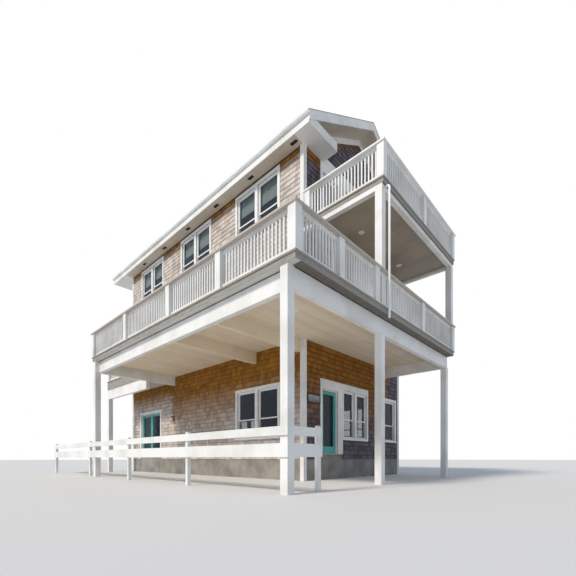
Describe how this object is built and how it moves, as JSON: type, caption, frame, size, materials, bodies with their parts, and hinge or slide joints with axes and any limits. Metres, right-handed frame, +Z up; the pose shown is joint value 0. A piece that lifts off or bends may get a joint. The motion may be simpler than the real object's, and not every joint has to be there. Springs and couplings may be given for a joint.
{
  "type": "beach house",
  "caption": "Three-storey shingled beach house with a gabled roof, wrap-round deck, upper deck, railings on posts and hinged glazed doors.",
  "frame": {"origin": "middle of the footprint, at the level of the lowest footing", "axes": "+X to the right along the gable front, +Y back along the long side, +Z up"},
  "size_m": [10.505, 16.555, 13.0374],
  "materials": {
    "cedar_shingle": "weathered cedar shingles",
    "white_trim": "white painted boards",
    "window_vinyl": "white vinyl",
    "window_glass": "clear float glass",
    "teal_door_paint": "satin teal paint",
    "soffit_paint": "beige painted boards",
    "deck_boards": "weathered deck boards",
    "roof_shingle": "dark composition shingles",
    "gutter_enamel": "white enamelled aluminium",
    "concrete": "cast concrete",
    "floor_wood": "timber floor"
  },
  "bodies": {
    "house": {"foundation": "concrete", "ground_floor": "concrete", "main_floor": "floor_wood", "upper_floor": "floor_wood", "left_wall_ground": "cedar_shingle", "left_wall_pier": "cedar_shingle", "left_wall_over_doors": "cedar_shingle", "left_wall_high": "cedar_shingle", "right_wall": "cedar_shingle", "front_wall_pier": "cedar_shingle", "front_wall_ground": "cedar_shingle", "front_wall_over_door": "cedar_shingle", "front_wall_high": "cedar_shingle", "rear_wall": "cedar_shingle", "gable_walls": "cedar_shingle", "roof_left": "roof_shingle", "roof_right": "roof_shingle", "ridge_cap": "roof_shingle", "rake_boards": "white_trim", "rake_soffits": "soffit_paint", "eave_boards": "white_trim", "gutters": "gutter_enamel", "cornice_returns": "white_trim", "corner_boards": "white_trim", "gable_frieze": "white_trim", "left_windows": "window_vinyl", "right_windows": "window_vinyl", "front_windows": "window_vinyl", "rear_windows": "window_vinyl", "window_glass": "window_glass", "front_door_frame": "white_trim", "front_door_casing": "white_trim", "side_door_frame": "white_trim", "main_deck": "deck_boards", "main_ceiling": "soffit_paint", "deck_beams": "white_trim", "ground_posts": "white_trim", "walkway_deck": "deck_boards", "upper_deck": "deck_boards", "upper_beams": "white_trim", "upper_posts": "white_trim", "main_rail_left": "white_trim", "main_rail_front": "white_trim", "main_rail_ends": "white_trim", "walkway_rails": "white_trim", "upper_rails": "white_trim", "guard_rail": "white_trim", "downspout": "gutter_enamel"},
    "front_leaf": {"front_door": "teal_door_paint", "front_door_glass": "window_glass"},
    "side_leaf_near": {"side_door_near": "teal_door_paint", "side_door_near_glass": "window_glass"},
    "side_leaf_far": {"side_door_far": "teal_door_paint", "side_door_far_glass": "window_glass"}
  },
  "joints": [
    {"name": "front_door_hinge", "type": "hinge", "parent": "house", "child": "front_leaf", "pos_m": [-0.7685, -5.3025, 1.9], "axis": [0, 0, 1], "range_deg": [0, 90]},
    {"name": "side_door_near_hinge", "type": "hinge", "parent": "house", "child": "side_leaf_near", "pos_m": [-1.6325, 3.7615, 1.9], "axis": [0, 0, -1], "range_deg": [0, 90]},
    {"name": "side_door_far_hinge", "type": "hinge", "parent": "house", "child": "side_leaf_far", "pos_m": [-1.6325, 5.7195, 1.9], "axis": [0, 0, 1], "range_deg": [0, 90]}
  ]
}
